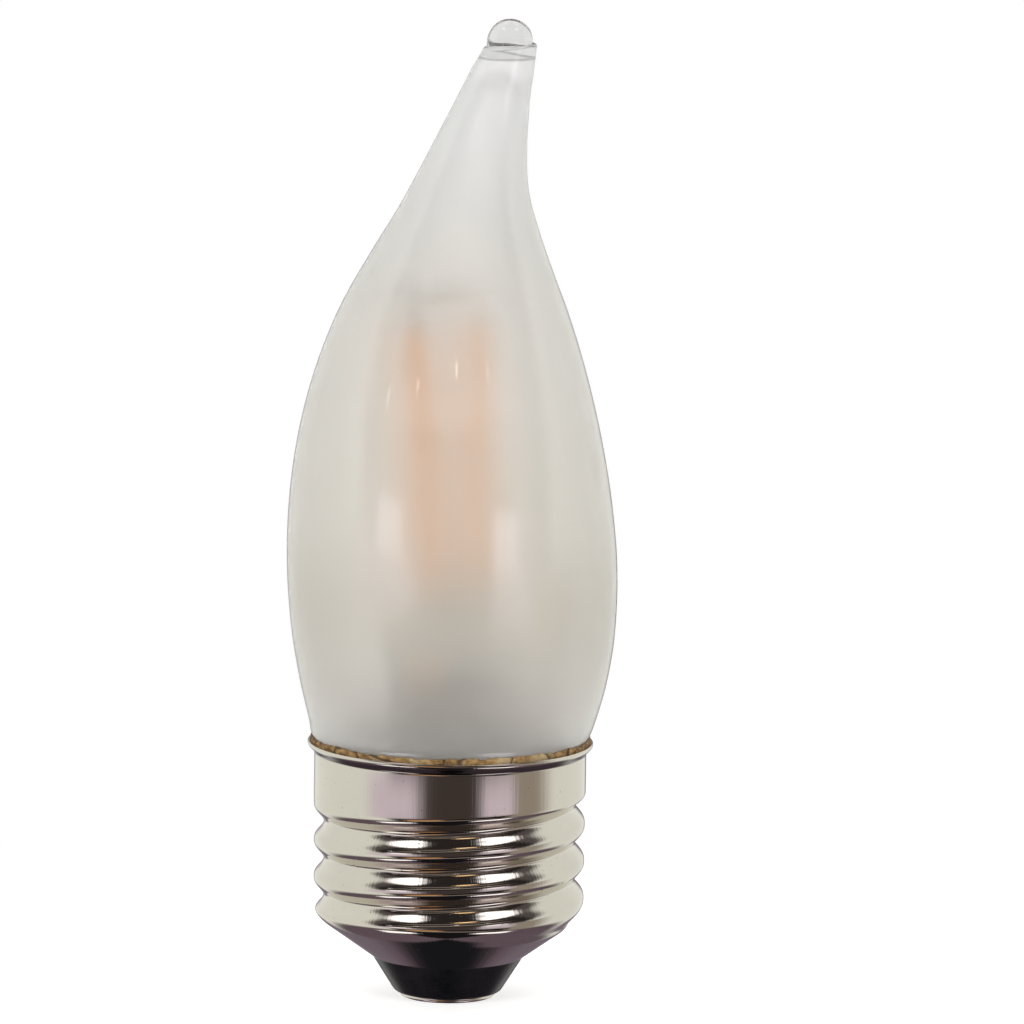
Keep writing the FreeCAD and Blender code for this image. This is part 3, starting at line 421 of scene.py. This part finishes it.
def winding_finish():
    """Enamelled copper wire: one fine line for each turn along the choke."""
    made, nodes = material("copper_winding")
    y = nodes.axes(nodes.point())[1]
    turns = (y * 2 * math.pi / 0.00012).math("SINE") * 0.5 + 0.5
    nodes.surface(
        Base_Color=nodes.mix(turns, (0.2, 0.05, 0.02), (0.75, 0.3, 0.14)),
        Metallic=1.0,
        Roughness=0.3,
        Normal=nodes.bump(turns, 0.00005),
    )
    return made


# The driver's and the wires' finishes: slot, material, two colours, scale of their clouds,
# roughness, and how metallic and how clear they are
PLAIN_FINISHES = (
    ("nickel_wire", "nickel_wire", (0.72, 0.69, 0.64), (0.6, 0.58, 0.54), 900, 0.25, 1.0, 0.0),
    ("solder", "solder", (0.62, 0.62, 0.61), (0.48, 0.48, 0.47), 1200, 0.3, 1.0, 0.0),
    ("substrate", "ceramic_strip", (0.9, 0.9, 0.87), (0.82, 0.83, 0.8), 900, 0.3, 0.0, 0.4),
    ("chip", "chip_crystal", (0.2, 0.3, 0.6), (0.35, 0.42, 0.66), 3000, 0.1, 0.0, 0.0),
    ("board", "solder_mask", (0.8, 0.8, 0.75), (0.7, 0.71, 0.66), 700, 0.35, 0.0, 0.0),
    (
        "capacitor_sleeve", "capacitor_sleeve",
        (0.03, 0.03, 0.035), (0.05, 0.05, 0.06), 500, 0.3, 0.0, 0.0,
    ),
    ("ferrite", "ferrite", (0.03, 0.03, 0.032), (0.07, 0.068, 0.065), 2600, 0.55, 0.0, 0.0),
    ("film_capacitor", "dipped_epoxy", (0.4, 0.06, 0.03), (0.5, 0.1, 0.05), 600, 0.2, 0.0, 0.0),
    (
        "black_moulding", "black_moulding",
        (0.02, 0.02, 0.022), (0.045, 0.045, 0.048), 3000, 0.5, 0.0, 0.0,
    ),
    ("resistor_body", "resistor_paint", (0.25, 0.4, 0.34), (0.32, 0.46, 0.4), 1400, 0.35, 0.0, 0.0),
    ("insulated_wire", "red_insulation", (0.5, 0.04, 0.03), (0.6, 0.07, 0.05), 900, 0.3, 0.0, 0.0),
)


# Mesh work


def finish_piece(name, bm, materials, replaces):
    """Turns a bmesh into a smooth piece that rides on the bulb and stands for CAD nodes."""
    bmesh.ops.remove_doubles(bm, verts=bm.verts, dist=1e-7)
    bmesh.ops.recalc_face_normals(bm, faces=bm.faces)
    mesh = bpy.data.meshes.new(name)
    bm.to_mesh(mesh)
    bm.free()
    for made in materials:
        mesh.materials.append(made)
    mesh.shade_smooth()
    mesh.set_sharp_from_angle(angle=math.radians(38))
    piece = bpy.data.objects.new(name, mesh)
    bpy.context.scene.collection.objects.link(piece)
    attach(piece, "root")
    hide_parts(*replaces)
    return piece


def lathe(points, steps):
    """A bmesh of an outline of (radius, height) points in millimetres, spun about the cap's axis."""
    bm = bmesh.new()
    verts = [bm.verts.new((r * MM, 0, z * MM)) for r, z in points]
    edges = [bm.edges.new(pair) for pair in zip(verts, verts[1:] + verts[:1])]
    bmesh.ops.spin(
        bm,
        geom=verts + edges,
        cent=(0, 0, 0),
        axis=(0, 0, 1),
        angle=2 * math.pi,
        steps=steps,
        use_merge=True,
    )
    return bm


def rounded(points, rounds, steps=6):
    """An outline with an arc of steps chords at each corner that rounds names."""
    corners = [Vector(p) for p in points]
    outline = []
    for i, corner in enumerate(corners):
        radius = rounds.get(i, 0)
        if not radius:
            outline.append(tuple(corner))
            continue
        before = (corners[i - 1] - corner).normalized()
        after = (corners[(i + 1) % len(corners)] - corner).normalized()
        half = before.angle(after) / 2
        start = corner + before * radius / math.tan(half)
        end = corner + after * radius / math.tan(half)
        centre = corner + (before + after).normalized() * radius / math.sin(half)
        sweep = math.pi - 2 * half
        for k in range(steps + 1):
            share = k / steps
            spoke = (start - centre) * math.sin((1 - share) * sweep)
            spoke += (end - centre) * math.sin(share * sweep)
            outline.append(tuple(centre + spoke / math.sin(sweep)))
    return outline


def between(stations, count):
    """count stations in each span, on the smooth curve through all of them."""
    made = []
    last = len(stations) - 1
    for i in range(last):
        a, b = stations[i], stations[i + 1]
        before, after = stations[max(i - 1, 0)], stations[min(i + 2, last)]
        for k in range(count):
            t = k / count
            made.append(tuple(smooth_between(t, *values) for values in spans(before, a, b, after)))
    made.append(stations[last])
    return made


def spans(before, a, b, after):
    """For each part of a station, its two values and its slopes per span at both."""
    step = b[0] - a[0]
    for p, q, r, s in zip(before, a, b, after):
        first = (r - p) / (b[0] - before[0]) * step if before is not a else r - q
        last = (s - q) / (after[0] - a[0]) * step if after is not b else r - q
        yield q, r, first, last


def smooth_between(t, q, r, first, last):
    cube = t * t * t
    square = t * t
    return (
        (2 * cube - 3 * square + 1) * q
        + (cube - 2 * square + t) * first
        + (3 * square - 2 * cube) * r
        + (cube - square) * last
    )


def flame_stations():
    """The glass's outer stations from its rim to its tip: height over the lip, radius, shift, tilt."""
    upper_neck = (NECK_DEPTH * 3 + SHOULDER_DEPTH) / 4
    stations = [(-NECK_DEPTH, NECK_RADIUS, 0.0, 0.0), (-upper_neck, NECK_RADIUS, 0.0, 0.0)]
    stations += [(-SHOULDER_DEPTH, SHOULDER_RADIUS, 0.0, 0.0), (SEAT_HEIGHT, SEAT_RADIUS, 0.0, 0.0)]
    for height, swell, shift, tilt in BELLY_STATIONS:
        radius = SEAT_RADIUS + swell * (GLASS_RADIUS - SEAT_RADIUS)
        stations.append((height * FLAME_LENGTH, radius, shift * TIP_LEAN, tilt))
    for height, width, shift, tilt in TAPER_STATIONS:
        stations.append((height * FLAME_LENGTH, width * GLASS_RADIUS, shift * TIP_LEAN, tilt))
    return stations


def ring_place(height, radius, shift, tilt):
    """Where a unit circle goes to be one ring of the flame."""
    turn = Matrix.Rotation(math.radians(tilt), 4, "Y")
    place = Vector((shift, 0, LIP_TOP + height)) * MM
    return Matrix.Translation(place) @ turn @ Matrix.Scale(max(radius, 0.002) * MM, 4)


def grow_rings(bm, rings, sides):
    """A tube grown from one circle that is extruded and carried from ring to ring."""
    verts = bmesh.ops.create_circle(bm, segments=sides, radius=1.0)["verts"]
    edges = list({edge for vert in verts for edge in vert.link_edges})
    here = ring_place(*rings[0])
    bmesh.ops.transform(bm, matrix=here, verts=verts)
    for ring in rings[1:]:
        grown = bmesh.ops.extrude_edge_only(bm, edges=edges)["geom"]
        verts = [item for item in grown if isinstance(item, bmesh.types.BMVert)]
        top = set(verts)
        edges = [e for e in grown if isinstance(e, bmesh.types.BMEdge) and set(e.verts) <= top]
        there = ring_place(*ring)
        bmesh.ops.transform(bm, matrix=there @ here.inverted(), verts=verts)
        here = there


# Settings


class BulbLook(bpy.types.PropertyGroup):
    """The bulb's own colours and finishes."""

    frost_roughness: FloatProperty(
        name="Blur", description="How far the frost blurs what is behind it", default=0.52, min=0, max=1
    )
    frost_clearness: FloatProperty(
        name="Clearness", description="Share of light through the frost", default=0.83, min=0, max=1
    )
    phosphor_tint: FloatVectorProperty(
        name="Phosphor",
        description="Colour of the filaments' coat",
        subtype="COLOR",
        default=(0.95, 0.36, 0.05),
    )
    # Painted light: emission strength of the filaments' coat
    phosphor_painted_glow: FloatProperty(
        name="Glow", description="How brightly the filaments glow", default=0.28, min=0
    )


class BulbSizes(bpy.types.PropertyGroup):
    """Sizes of the pieces that are rebuilt over the CAD frame."""

    glass_wall: FloatProperty(
        name="Glass wall", description="Thickness of the envelope", unit="LENGTH", default=0.8 * MM
    )
    bead_radius: FloatProperty(
        name="Bead", description="Radius of the clear bead on the tip", unit="LENGTH", default=2.2 * MM
    )
    cement_ragged: FloatProperty(
        name="Ragged edge", description="How uneven the cement's edge is", unit="LENGTH", default=0.28 * MM
    )
    glass_sides: IntProperty(name="Glass sides", description="Facets round the glass", default=128, min=24)


class StudioLook(bpy.types.PropertyGroup):
    """The camera and the light round the bulb."""

    elevation: FloatProperty(
        name="Elevation",
        description="How far the camera looks down",
        unit="ROTATION",
        default=math.radians(11.4),
    )
    roll: FloatProperty(
        name="Roll", description="How far the camera leans", unit="ROTATION", default=math.radians(0.7)
    )
    distance: FloatProperty(
        name="Distance", description="From the camera to the end contact", unit="LENGTH", default=1.0
    )
    focal_pixels: FloatProperty(
        name="Focal length", description="Focal length in pixels of the square picture", default=10290.0
    )
    lamp_power: FloatProperty(name="Lamps", description="Power of each soft lamp", default=8.5, min=0)
    contact_pixel: FloatVectorProperty(
        name="Contact",
        description="Where the contact's centre lies in the picture",
        size=2,
        default=(447.3, 994.5),
    )


class BULB_OT_glass(bpy.types.Operator):
    """Builds the blown envelope: frosted inside, polished outside, with its clear drawn bead"""

    bl_idname = "bulb.glass"
    bl_label = "Glass"

    def execute(self, context):
        sizes = context.scene.bulb_sizes
        look = context.scene.bulb_look
        wall = sizes.glass_wall / MM
        stations = flame_stations()
        height, radius, shift, tilt = stations[-1]
        hollow = [(h, r - wall, x, t) for h, r, x, t in stations[:-2]]
        bore_end = height - BORE_END_WALL
        hollow.append((bore_end, BORE_END_RADIUS, shift - BORE_END_SHIFT, -tilt))
        inside = between(hollow, SPAN_RINGS)[::-1]
        inside.insert(0, (bore_end + BORE_END_ROUND, 0.0, shift - BORE_TIP_SHIFT, -tilt))
        outside = between(stations, SPAN_RINGS)
        crown = []
        for degrees in (15, 30, 45, 60, 75):
            turn = math.radians(degrees)
            set_in = TIP_ROUND * (1 - math.cos(turn))
            crown.append((height + TIP_ROUND * math.sin(turn), radius - set_in, shift, tilt))
        bead = sizes.bead_radius / MM
        centre = height + BEAD_RISE
        dome = []
        for k in range(DOME_RINGS + 1):
            turn = math.radians(-8 + k * 98 / DOME_RINGS)
            lean = tilt * (1 - k / DOME_RINGS)
            dome.append((centre + bead * math.sin(turn), bead * math.cos(turn), shift, lean))
        bm = bmesh.new()
        grow_rings(bm, inside + outside + crown + dome, sizes.glass_sides)
        bmesh.ops.remove_doubles(bm, verts=bm.verts, dist=0.01 * MM)
        clear_from = (LIP_TOP + height - CLEAR_TIP) * MM
        inner_faces = len(inside) * sizes.glass_sides
        for index, face in enumerate(bm.faces):
            if face.calc_center_median().z > clear_from:
                face.material_index = 1
            elif index < inner_faces:
                face.material_index = 2
        # Painted shade: the bead's clear glass is tinted darker grey than the stem's
        bead_glass = clear_glass_finish("bead_glass", (0.68, 0.68, 0.66), (0.8, 0.8, 0.79))
        materials = [frosted_finish(look), bead_glass, inner_frost_finish(look)]
        finish_piece("glass_flame", bm, materials, ["glass_envelope"])
        return {"FINISHED"}


def thread_groove(angle, height):
    """How deep the rolled groove lies at an angle in degrees and a height over the shell's bottom."""
    turns = (height - FIRST_ROOT) / THREAD_PITCH - angle / 360
    groove_angle = angle + 360 * round(turns)
    wave = (1 - math.cos(2 * math.pi * (turns - round(turns)))) / 2
    depth = ease(groove_angle, *RUN_IN) * (1 - ease(groove_angle, *RUN_OUT))
    depth *= ease(height, BAND_START, BAND_START + THREAD_PITCH / 4)
    depth *= 1 - ease(height, BAND_END - THREAD_PITCH / 4, BAND_END)
    return THREAD_DEPTH * (1 - wave) ** ROOT_SHARPNESS * depth


def ease(value, low, high):
    """A smooth step from 0 to 1 as value goes from low to high."""
    t = min(max((value - low) / (high - low), 0), 1)
    return t * t * (3 - 2 * t)


def band_radius(angle, height):
    """The threaded band's outer radius at a height over the shell's bottom."""
    cone = HOLE_RADIUS + CONE_SLOPE * height
    overlap = max(SHOULDER_BLEND - abs(cone - CREST_RADIUS), 0) / SHOULDER_BLEND
    skin = min(cone, CREST_RADIUS) - overlap * overlap * SHOULDER_BLEND / 4
    skin += SKIRT_STEP * ease(height, BAND_END - THREAD_PITCH, BAND_END)
    return skin - thread_groove(angle, height)


class BULB_OT_cap(bpy.types.Operator):
    """Builds the rolled nickel shell, the black insulator and the contact disc"""

    bl_idname = "bulb.cap"
    bl_label = "Cap"

    def execute(self, context):
        nickel = nickel_finish()
        self.shell(nickel)
        self.insulator()
        self.contact(nickel)
        return {"FINISHED"}

    def shell(self, nickel):
        """One outline of the rolled sheet, spun, whose threaded rows are then moved to their radii.

        The outline marks the thread's outer rows with a radius of 1 and its inner rows with 0.5.
        """
        band_height = BAND_END - BAND_START
        rows = range(THREAD_ROWS + 1)
        levels = [SHELL_BOTTOM + BAND_START + band_height * k / THREAD_ROWS for k in rows]
        soft = LIP_FLARE_RADIUS
        skirt_foot = levels[-1] + 0.4
        lip = SKIRT_RADIUS + LIP_FLARE
        turn = SKIRT_TOP + SHEET * math.tan(math.radians(22.5))
        corners = [(SKIRT_RADIUS, skirt_foot), (SKIRT_RADIUS, SKIRT_TOP)]
        corners += [(lip, SKIRT_TOP + LIP_FLARE), (lip, LIP_TOP)]
        corners += [(LIP_BORE, LIP_TOP), (LIP_BORE, turn + LIP_FLARE)]
        corners += [(SKIRT_BORE, turn), (SKIRT_BORE, skirt_foot)]
        rounds = {1: soft, 2: soft, 3: 0.1, 4: 0.1, 5: soft - SHEET, 6: soft + SHEET}
        top = rounded(corners, rounds)
        hole = [(HOLE_RADIUS, HOLE_EDGE), (HOLE_RADIUS, SHELL_BOTTOM)]
        outline = [(1.0, z) for z in levels] + top + [(0.5, z) for z in levels[::-1]] + hole
        bm = lathe(outline, SHELL_SIDES)
        for vert in bm.verts:
            mark = math.hypot(vert.co.x, vert.co.y) / MM
            if mark > 2:
                continue
            height = vert.co.z / MM - SHELL_BOTTOM
            angle = math.degrees(math.atan2(vert.co.y, vert.co.x)) % 360
            radius = band_radius(angle, height)
            if mark < 0.75:
                above = band_radius(angle, height + SLOPE_STEP)
                below = band_radius(angle, height - SLOPE_STEP)
                radius -= SHEET * math.hypot(1, (above - below) / (2 * SLOPE_STEP))
            scale = radius / mark
            vert.co.x *= scale
            vert.co.y *= scale
        finish_piece("nickel_shell", bm, [nickel], ["screw_shell"])

    def insulator(self):
        flange = HOLE_RADIUS + FLANGE_REACH
        flange_low = HOLE_EDGE + FLANGE_REACH / CONE_SLOPE
        flange_high = flange_low + FLANGE_EDGE
        points = [(EYELET_RADIUS, CONTACT_THICKNESS), (FOOT_RADIUS, CONTACT_THICKNESS)]
        points += [(HOLE_RADIUS, SHELL_BOTTOM), (HOLE_RADIUS, HOLE_EDGE)]
        points += [(flange, flange_low), (flange, flange_high), (flange - INSULATOR_WALL, flange_high)]
        points += [(WELL_RADIUS, WELL_FLOOR), (EYELET_RADIUS, WELL_FLOOR)]
        bm = lathe(rounded(points, {1: 0.8, 2: 0.25}), INSULATOR_SIDES)
        finish_piece("glass_insulator", bm, [black_glass_finish()], ["insulator"])

    def contact(self, nickel):
        """The disc and the eyelet, whose collar is spread over the insulator's floor."""
        collar_top = WELL_FLOOR + 0.3
        points = [(EYELET_BORE, 0.0), (CONTACT_RADIUS, 0.0), (CONTACT_RADIUS, CONTACT_THICKNESS)]
        points += [(EYELET_RADIUS, CONTACT_THICKNESS), (EYELET_RADIUS, WELL_FLOOR)]
        points += [(COLLAR_RADIUS, WELL_FLOOR), (COLLAR_RADIUS, collar_top), (EYELET_BORE, collar_top)]
        bm = lathe(rounded(points, {1: 0.3, 2: 0.08}), CONTACT_SIDES)
        finish_piece("contact_disc", bm, [nickel], ["end_contact"])


class BULB_OT_cement(bpy.types.Operator):
    """Builds the ring of basing cement with its ragged edge on the glass"""

    bl_idname = "bulb.cement"
    bl_label = "Cement"

    def execute(self, context):
        ragged = context.scene.bulb_sizes.cement_ragged
        outer = SKIRT_BORE - 0.01
        skirt = [(11.0, -CEMENT_DEPTH), (outer, -CEMENT_DEPTH), (outer, SKIRT_TOP + 0.05 - LIP_TOP)]
        rim = [(LIP_BORE - 0.02, -0.2), (LIP_BORE, -0.1), (LIP_BORE + 0.02, 0.1), (LIP_BORE + 0.04, 0.2)]
        crown = [(LIP_BORE + 0.04, 0.36), (LIP_BORE - 0.04, 0.46), (13.2, 0.42)]
        neck = [(12.9, -1.0), (11.2, -2.6)]
        points = [(radius, LIP_TOP + height) for radius, height in skirt + rim + crown + neck]
        bm = lathe(points, CEMENT_SIDES)
        for vert in bm.verts:
            height = vert.co.z / MM - LIP_TOP
            lift = ease(height, 0.05, 0.6)
            if lift:
                coarse = noise.noise(vert.co * 420)
                fine = noise.noise(vert.co * 1900)
                vert.co.z += lift * ragged * (coarse + 0.6 * fine)
        finish_piece("cement_ring", bm, [cement_finish()], ["basing_cement"])
        return {"FINISHED"}


class BULB_OT_inside(bpy.types.Operator):
    """Gives the stem, the wires, the filaments and the driver their finishes"""

    bl_idname = "bulb.inside"
    bl_label = "Inside"

    def execute(self, context):
        look = context.scene.bulb_look
        dark, light = (0.88, 0.88, 0.87), (0.95, 0.95, 0.94)
        finishes = {"clear_glass": clear_glass_finish("clear_glass", dark, light)}
        finishes |= {slot: plain_finish(*row) for slot, *row in PLAIN_FINISHES}
        finishes |= {"phosphor": phosphor_finish(look), "copper": winding_finish()}
        for entry in frame["record"]["subparts"]:
            finish = finishes.get(entry["material_slot"])
            if finish:
                piece = frame["nodes"][entry["node"]]
                piece.data.materials.clear()
                piece.data.materials.append(finish)
        return {"FINISHED"}


class BULB_OT_studio(bpy.types.Operator):
    """Sets up the white floor, the light round the bulb and the camera"""

    bl_idname = "bulb.studio"
    bl_label = "Studio"

    def execute(self, context):
        scene = context.scene
        scene.view_settings.view_transform = "Standard"
        self.floor()
        self.surroundings(scene)
        self.lamps(scene)
        self.camera(scene)
        return {"FINISHED"}

    def floor(self):
        """White paper that keeps the bulb's shadow near it and turns into the white backdrop beyond."""
        made, nodes = material("studio_floor")
        seen = nodes.add("ShaderNodeLightPath", output="Is Camera Ray")
        through = nodes.add("ShaderNodeLightPath", output="Is Transmission Ray")
        point = nodes.point()
        x, y, _ = nodes.axes(point)
        away = nodes.step((x * x + y * y).math("SQRT"), *SHADOW_FADE)
        tint = nodes.mix(nodes.noise(point, 3.0), (0.8, 0.8, 0.8), (0.82, 0.82, 0.82))
        paper = nodes.add("ShaderNodeBsdfDiffuse", sockets={"Color": tint})
        glow = nodes.add("ShaderNodeEmission", sockets={"Strength": (seen + through) * PAPER_GLOW})
        near = nodes.add("ShaderNodeAddShader", sockets={0: paper, 1: glow})
        white = nodes.add("ShaderNodeEmission", sockets={"Strength": 1.0})
        both = nodes.add("ShaderNodeMixShader", sockets={0: (seen + through) * away, 1: near, 2: white})
        nodes.add("ShaderNodeOutputMaterial", sockets={"Surface": both})
        bm = bmesh.new()
        bmesh.ops.create_grid(bm, x_segments=1, y_segments=1, size=FLOOR_SIZE)
        mesh = bpy.data.meshes.new("floor")
        bm.to_mesh(mesh)
        bm.free()
        mesh.materials.append(made)
        floor = bpy.data.objects.new("floor", mesh)
        bpy.context.scene.collection.objects.link(floor)
        floor.visible_glossy = False

    def surroundings(self, scene):
        """Cream cards at the sides, soft boxes and a dark gap in front, and a white backdrop."""
        world = bpy.data.worlds.new("studio")
        world.use_nodes = True
        scene.world = world
        nodes = Nodes(world.node_tree)
        x, y, z = nodes.axes(nodes.add("ShaderNodeTexCoord"))
        turn = x.math("ARCTAN2", y * -1) * (180 / math.pi)
        rise = z.math("ARCSINE") * (180 / math.pi)
        off = (turn - CARD_MIDDLE).math("ABSOLUTE") - (rise + 3) * CARD_SLANT
        beside = nodes.step(off, CARD_EDGE - CARD_SOFT, CARD_EDGE + CARD_SOFT)
        upright = nodes.band(rise, CARD_FOOT, CARD_HEAD, 8)
        colour = nodes.mix(beside * upright, ROOM_COLOUR, CARD_COLOUR)
        for azimuths, elevations, softness, tint in SURROUNDINGS:
            across = nodes.band(turn, *azimuths, softness[0])
            colour = nodes.mix(across * nodes.band(rise, *elevations, softness[1]), colour, tint)
        seen = nodes.add("ShaderNodeLightPath", output="Is Camera Ray")
        through = nodes.add("ShaderNodeLightPath", output="Is Transmission Ray")
        behind = nodes.step(turn.math("ABSOLUTE"), 90.0, 110.0)
        white = nodes.mix(seen + through * behind, colour, (1.0, 1.0, 1.0))
        light = nodes.add("ShaderNodeBackground", sockets={"Color": white, "Strength": 1.0})
        nodes.add("ShaderNodeOutputWorld", sockets={"Surface": light})

    def lamps(self, scene):
        """Two large soft lamps in front and one above, which light the bulb evenly."""
        power = scene.studio_look.lamp_power
        for place, share in LAMPS:
            data = bpy.data.lights.new("soft_lamp", "AREA")
            data.size = LAMP_SIZE
            data.energy = power * share
            lamp = bpy.data.objects.new("soft_lamp", data)
            towards = Vector(LAMPS_AIM) - Vector(place)
            turn = towards.to_track_quat("-Z", "Y").to_matrix().to_4x4()
            lamp.matrix_world = Matrix.Translation(place) @ turn
            lamp.visible_glossy = False
            lamp.visible_transmission = False
            scene.collection.objects.link(lamp)

    def camera(self, scene):
        look = scene.studio_look
        tilt, roll = look.elevation, look.roll
        across, ahead = Vector((1, 0, 0)), Vector((0, math.cos(tilt), -math.sin(tilt)))
        above = Vector((0, math.sin(tilt), math.cos(tilt)))
        right = (IMAGE_SIZE / 2 - look.contact_pixel[0]) / look.focal_pixels
        up = (look.contact_pixel[1] - IMAGE_SIZE / 2) / look.focal_pixels
        sight = ahead + across * (right * math.cos(roll) - up * math.sin(roll))
        sight += above * (up * math.cos(roll) + right * math.sin(roll))
        back = -sight.normalized()
        top = above * math.cos(roll) - across * math.sin(roll)
        east = top.cross(back).normalized()
        north = back.cross(east)
        turn = Matrix((east, north, back)).transposed().to_4x4()
        data = bpy.data.cameras.new("camera")
        data.sensor_width = 36.0
        data.lens = look.focal_pixels * data.sensor_width / IMAGE_SIZE
        camera = bpy.data.objects.new("camera", data)
        camera.matrix_world = Matrix.Translation(-ahead * look.distance) @ turn
        scene.collection.objects.link(camera)
        scene.camera = camera


class BULB_PT_panel(bpy.types.Panel):
    """The steps that build the bulb, in order"""

    bl_idname = "BULB_PT_panel"
    bl_label = "Candle Bulb"
    bl_space_type = "VIEW_3D"
    bl_region_type = "UI"
    bl_category = "Candle Bulb"

    def draw(self, context):
        for step in STEPS:
            self.layout.operator(step.bl_idname)


SETTINGS = {"bulb_look": BulbLook, "bulb_sizes": BulbSizes, "studio_look": StudioLook}
STEPS = (BULB_OT_glass, BULB_OT_cap, BULB_OT_cement, BULB_OT_inside, BULB_OT_studio)


def register():
    for cls in (*SETTINGS.values(), *STEPS, BULB_PT_panel):
        bpy.utils.register_class(cls)
    for name, group in SETTINGS.items():
        setattr(bpy.types.Scene, name, PointerProperty(type=group))


def unregister():
    for name in SETTINGS:
        delattr(bpy.types.Scene, name)
    for cls in (BULB_PT_panel, *reversed(STEPS), *reversed(list(SETTINGS.values()))):
        bpy.utils.unregister_class(cls)


def main():
    register()
    bpy.ops.bulb.glass()
    bpy.ops.bulb.cap()
    bpy.ops.bulb.cement()
    bpy.ops.bulb.inside()
    bpy.ops.bulb.studio()


if __name__ == "__main__":
    main()
